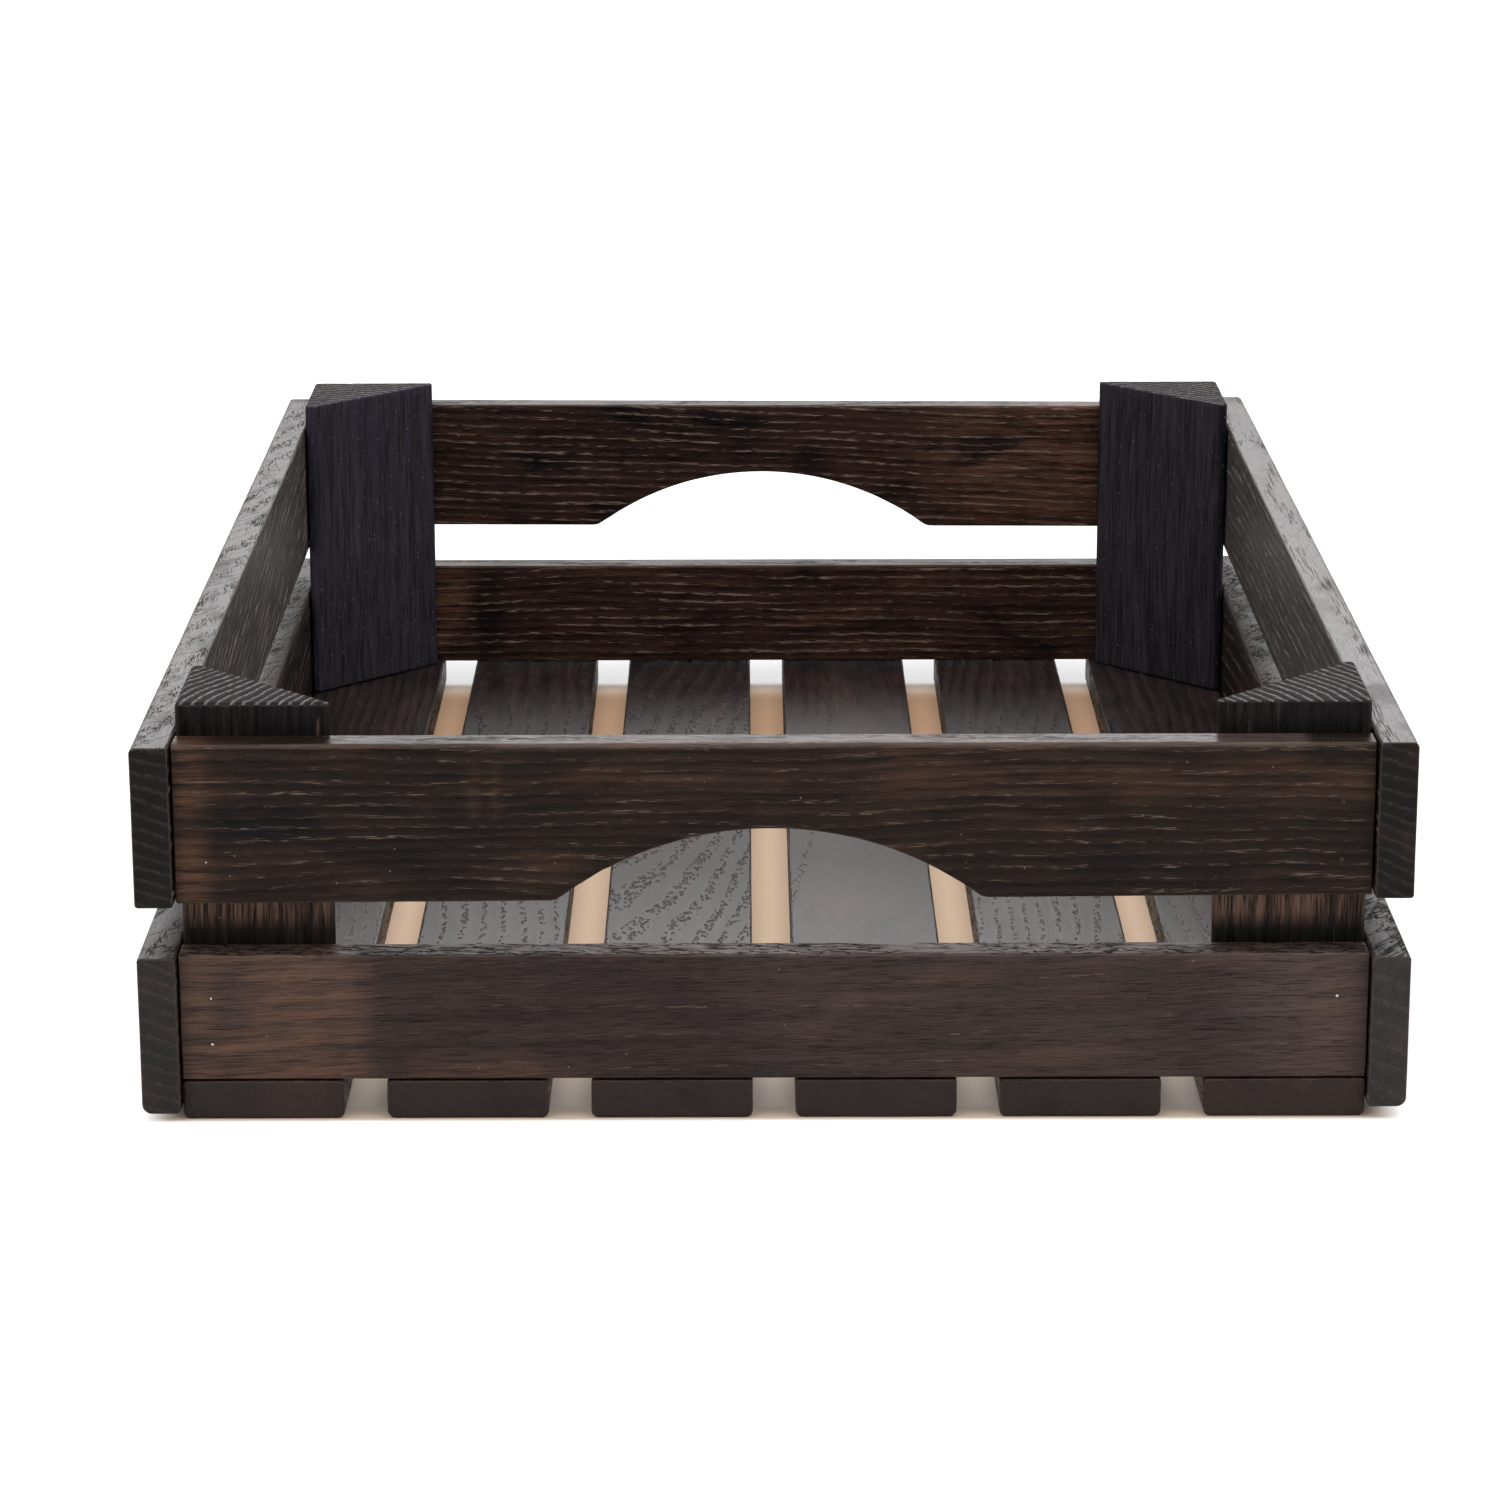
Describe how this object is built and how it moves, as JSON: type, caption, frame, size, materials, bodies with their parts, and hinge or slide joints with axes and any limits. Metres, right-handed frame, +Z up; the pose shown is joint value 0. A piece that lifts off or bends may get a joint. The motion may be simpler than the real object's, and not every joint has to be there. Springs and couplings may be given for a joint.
{
  "type": "slatted wooden crate",
  "caption": "Open slatted timber crate with two rows of slats on each wall, corner posts that carry a stacked crate and arched hand holds.",
  "frame": {"origin": "centre of the footprint, on the ground", "axes": "+X across the crate, from the left long wall to the right one; +Y along it, from the front short wall to the back one; +Z up"},
  "size_m": [0.3, 0.4, 0.1],
  "materials": {
    "wall_wood": "dark brown stain, open grain, satin",
    "floor_wood": "dark brown stain, rough sawn",
    "post_wood": "near black stain, sawn",
    "brad_steel": "bright head"
  },
  "bodies": {
    "root": {"front_lower_slat": "wall_wood", "front_upper_slat": "wall_wood", "right_lower_slat": "wall_wood", "right_upper_slat": "wall_wood", "back_lower_slat": "wall_wood", "back_upper_slat": "wall_wood", "left_lower_slat": "wall_wood", "left_upper_slat": "wall_wood", "front_left_post": "post_wood", "front_right_post": "post_wood", "back_right_post": "post_wood", "back_left_post": "post_wood", "floor_slat_1": "floor_wood", "floor_slat_2": "floor_wood", "floor_slat_3": "floor_wood", "floor_slat_4": "floor_wood", "floor_slat_5": "floor_wood", "floor_slat_6": "floor_wood", "front_lower_brad_left_low": "brad_steel", "front_lower_brad_left_high": "brad_steel", "front_lower_brad_right_low": "brad_steel", "front_lower_brad_right_high": "brad_steel", "front_upper_brad_left_low": "brad_steel", "front_upper_brad_left_high": "brad_steel", "front_upper_brad_right_low": "brad_steel", "front_upper_brad_right_high": "brad_steel", "right_lower_brad_front_low": "brad_steel", "right_lower_brad_front_high": "brad_steel", "right_lower_brad_back_low": "brad_steel", "right_lower_brad_back_high": "brad_steel", "right_upper_brad_front_low": "brad_steel", "right_upper_brad_front_high": "brad_steel", "right_upper_brad_back_low": "brad_steel", "right_upper_brad_back_high": "brad_steel", "back_lower_brad_right_low": "brad_steel", "back_lower_brad_right_high": "brad_steel", "back_lower_brad_left_low": "brad_steel", "back_lower_brad_left_high": "brad_steel", "back_upper_brad_right_low": "brad_steel", "back_upper_brad_right_high": "brad_steel", "back_upper_brad_left_low": "brad_steel", "back_upper_brad_left_high": "brad_steel", "left_lower_brad_back_low": "brad_steel", "left_lower_brad_back_high": "brad_steel", "left_lower_brad_front_low": "brad_steel", "left_lower_brad_front_high": "brad_steel", "left_upper_brad_back_low": "brad_steel", "left_upper_brad_back_high": "brad_steel", "left_upper_brad_front_low": "brad_steel", "left_upper_brad_front_high": "brad_steel"}
  },
  "joints": []
}
